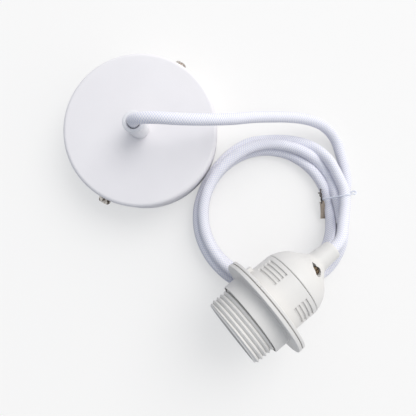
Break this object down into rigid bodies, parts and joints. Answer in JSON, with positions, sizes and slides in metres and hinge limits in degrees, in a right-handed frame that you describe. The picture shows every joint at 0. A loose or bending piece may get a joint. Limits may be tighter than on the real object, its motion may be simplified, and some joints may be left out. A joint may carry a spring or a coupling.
{
  "type": "pendant cord set",
  "caption": "White pendant cord set: round ceiling rose with a cord grip, round textile cord tied in a coil, and a screw lamp holder with a shade ring.",
  "frame": {"origin": "Centre of the mounting strap's ceiling side, in the plane that the rose's open edge lies in; the part lies on this plane as it would on a table.", "axes": "+Z out of the ceiling side through the rose's cord grip, square to the table; the lamp holder lies across the coil, its mouth towards -X; +Y across the holder, so that the tied coil and the holder are on the -Y side of the rose."},
  "size_m": [0.1404, 0.1954, 0.0659],
  "materials": {
    "white_paint": "fine matt powder coat",
    "white_plastic": "satin moulding",
    "warm_plastic": "satin moulding",
    "textile": "fine braided sleeve",
    "zinc": "zinc plated",
    "nickel": "nickel plated",
    "brass": "plain brass",
    "live_sleeve": "core insulation",
    "neutral_sleeve": "core insulation",
    "tie": "coated wire"
  },
  "bodies": {
    "set": {"rose_cover": "white_paint", "mounting_strap": "zinc", "side_screw_right": "nickel", "side_screw_left": "nickel", "rose_cord_grip": "white_plastic", "rose_grip_screw": "nickel", "rose_grip_nut": "zinc", "terminal_block": "white_plastic", "block_screw_live_in": "nickel", "block_screw_live_out": "nickel", "block_screw_neutral_in": "nickel", "block_screw_neutral_out": "nickel", "rose_live_core": "live_sleeve", "rose_neutral_core": "neutral_sleeve", "cord_lead": "textile", "cord_coil": "textile", "cord_tail": "textile", "wire_tie": "tie", "holder_body": "warm_plastic", "holder_cap": "warm_plastic", "neck_grip_screw": "brass", "contact_carrier": "white_plastic", "screw_shell": "nickel", "centre_contact": "brass", "terminal_screw_live": "nickel", "terminal_screw_neutral": "nickel", "holder_live_core": "live_sleeve", "holder_neutral_core": "neutral_sleeve"},
    "shade_ring": {"shade_ring": "warm_plastic"}
  },
  "joints": [
    {"name": "shade_ring_unscrew", "type": "slide", "parent": "set", "child": "shade_ring", "axis": [-0.9877, 0, 0.1564], "range_m": [0, 0.024]}
  ]
}
